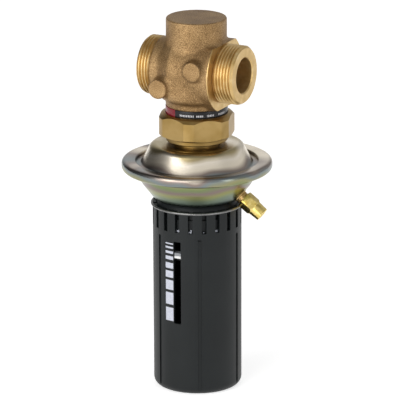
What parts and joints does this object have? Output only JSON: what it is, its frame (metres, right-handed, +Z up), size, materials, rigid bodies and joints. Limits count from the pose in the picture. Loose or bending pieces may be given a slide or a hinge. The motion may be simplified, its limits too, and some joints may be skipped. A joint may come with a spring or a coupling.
{
  "type": "differential pressure regulator",
  "caption": "Self-acting differential pressure regulator: cast two-port valve body, union nut, pressed diaphragm housing with an impulse fitting, and a long setting handle with a window.",
  "frame": {"origin": "centre of the handle's flat end, on which the part stands", "axes": "+Z up along the stem, +X along the pipe towards the outlet, -Y towards the side with the handle's window"},
  "size_m": [0.1062, 0.1062, 0.268],
  "materials": {
    "cast_bronze": "sand-cast red bronze, blasted, with machined golden threads and faces",
    "turned_brass": "turned brass, satin",
    "fitting_brass": "bright turned brass",
    "passivated_steel": "pressed steel, zinc plated and yellow passivated, iridescent",
    "stainless_steel": "turned stainless steel",
    "spring_wire": "drawn spring wire, light grey",
    "blackened_spring": "oiled black spring steel",
    "black_plastic": "moulded black plastic, satin",
    "label_plastic": "black plastic band with a red field and plain white marks",
    "white_plastic": "moulded white plastic",
    "seal_rubber": "black moulded rubber"
  },
  "bodies": {
    "valve_and_housing": {"valve_body": "cast_bronze", "valve_seat": "stainless_steel", "stem_guide": "turned_brass", "stem_o_ring": "seal_rubber", "neck_gasket": "seal_rubber", "label_ring": "label_plastic", "union_nut": "turned_brass", "housing_hub": "turned_brass", "upper_casing": "passivated_steel", "lower_casing": "passivated_steel", "diaphragm": "seal_rubber", "guide_tube": "stainless_steel", "spindle_o_ring": "seal_rubber", "guide_nut": "stainless_steel", "handle_carrier": "black_plastic", "setting_spring": "blackened_spring", "impulse_nipple": "fitting_brass", "cutting_ring": "fitting_brass", "compression_nut": "fitting_brass"},
    "stem_set": {"valve_plug": "stainless_steel", "plug_seal": "seal_rubber", "valve_stem": "stainless_steel", "diaphragm_plate_upper": "stainless_steel", "diaphragm_plate_lower": "stainless_steel", "plate_nut": "stainless_steel", "spindle": "stainless_steel", "spring_seat": "stainless_steel", "spindle_nut": "stainless_steel"},
    "handle_set": {"handle": "black_plastic", "retaining_ring": "spring_wire"},
    "thrust_plate": {"spring_plate": "stainless_steel"},
    "nut_set": {"adjusting_nut": "black_plastic", "indicator": "white_plastic"}
  },
  "joints": [
    {"name": "valve_stroke", "type": "slide", "parent": "valve_and_housing", "child": "stem_set", "axis": [0, 0, 1], "range_m": [0, 0.005], "stiffness_N_per_m": 500, "springref_m": -0.002, "deforming": ["diaphragm"]},
    {"name": "handle_turn", "type": "hinge", "parent": "valve_and_housing", "child": "handle_set", "pos_m": [0, 0, 0.07], "axis": [0, 0, 1], "range_deg": [-900, 5400]},
    {"name": "nut_travel", "type": "slide", "parent": "valve_and_housing", "child": "thrust_plate", "axis": [0, 0, 1], "range_m": [-0.0455, 0.008], "deforming": ["setting_spring"]},
    {"name": "nut_turn", "type": "hinge", "parent": "thrust_plate", "child": "nut_set", "pos_m": [0, 0, 0.1], "axis": [0, 0, 1], "range_deg": [-905, 5405]}
  ],
  "couplings": [
    {"joint": "nut_travel", "follows": "handle_turn", "m_per_rad": -0.00047746},
    {"joint": "nut_turn", "follows": "handle_turn", "ratio": 1}
  ]
}
